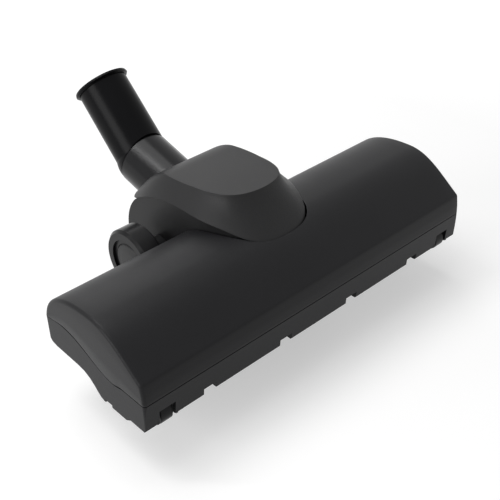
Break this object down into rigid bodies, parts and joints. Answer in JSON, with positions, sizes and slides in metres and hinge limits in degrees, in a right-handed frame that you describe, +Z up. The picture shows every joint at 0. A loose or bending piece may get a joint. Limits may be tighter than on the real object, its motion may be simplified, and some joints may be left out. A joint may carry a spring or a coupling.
{
  "type": "vacuum turbo brush",
  "caption": "Wide air-driven floor brush head for a vacuum cleaner, with a turbine under a raised cover, a tilting and swivelling neck, rear wheels and front rollers.",
  "frame": {"origin": "middle of the footprint of the whole object, on the floor", "axes": "+X along the width of the head, -Y towards the front wall of the head, +Y towards the neck, +Z up"},
  "size_m": [0.28, 0.2374, 0.1128],
  "materials": {
    "shell": "satin",
    "cover": "satin",
    "inner": "satin",
    "tube": "semi gloss",
    "wheel": "satin",
    "steel": "brushed",
    "belt": "matt",
    "bristle": "matt",
    "drive": "satin"
  },
  "bodies": {
    "head": {"upper_housing": "shell", "lower_housing": "shell", "turbine_cover": "cover", "joint_housing": "inner", "turbine_plate_left": "inner", "turbine_plate_right": "inner", "turbine_bearing_left": "steel", "turbine_bearing_right": "steel", "rib_frame": "inner", "belt_guard": "inner", "drive_belt": "belt", "brush_bearing_left": "inner", "brush_bearing_right": "inner", "roller_pin_left": "steel", "roller_pin_right": "steel", "axle_clips": "steel", "housing_screws": "steel"},
    "neck": {"elbow": "shell"},
    "tube": {"swivel_tube": "tube", "swivel_ring": "steel"},
    "left_wheel": {"wheel_left": "wheel", "wheel_cap_left": "cover"},
    "right_wheel": {"wheel_right": "wheel", "wheel_cap_right": "cover"},
    "left_roller": {"front_roller_left": "wheel"},
    "right_roller": {"front_roller_right": "wheel"},
    "brush": {"brush_core": "inner", "bristle_tufts": "bristle", "brush_pulley": "drive", "brush_pins": "steel"},
    "turbine": {"turbine_wheel": "drive", "turbine_shaft": "steel", "turbine_pulley": "drive"}
  },
  "joints": [
    {"name": "neck_tilt", "type": "hinge", "parent": "head", "child": "neck", "pos_m": [0, -0.00312, 0.024], "axis": [1, 0, 0], "range_deg": [-16, 0]},
    {"name": "tube_swivel", "type": "hinge", "parent": "neck", "child": "tube", "pos_m": [0, 0.05897, 0.05419], "axis": [0, 0.9636, 0.2672], "continuous": true},
    {"name": "left_wheel_spin", "type": "hinge", "parent": "head", "child": "left_wheel", "pos_m": [-0.057, -0.00312, 0.024], "axis": [1, 0, 0], "continuous": true},
    {"name": "right_wheel_spin", "type": "hinge", "parent": "head", "child": "right_wheel", "pos_m": [0.057, -0.00312, 0.024], "axis": [1, 0, 0], "continuous": true},
    {"name": "left_roller_spin", "type": "hinge", "parent": "head", "child": "left_roller", "pos_m": [-0.124, -0.10972, 0.0073], "axis": [1, 0, 0], "continuous": true},
    {"name": "right_roller_spin", "type": "hinge", "parent": "head", "child": "right_roller", "pos_m": [0.124, -0.10972, 0.0073], "axis": [1, 0, 0], "continuous": true},
    {"name": "brush_spin", "type": "hinge", "parent": "head", "child": "brush", "pos_m": [0, -0.08772, 0.0216], "axis": [1, 0, 0], "continuous": true},
    {"name": "turbine_spin", "type": "hinge", "parent": "head", "child": "turbine", "pos_m": [0, -0.05072, 0.054], "axis": [1, 0, 0], "continuous": true}
  ],
  "couplings": [
    {"joint": "turbine_spin", "follows": "brush_spin", "ratio": 2}
  ]
}
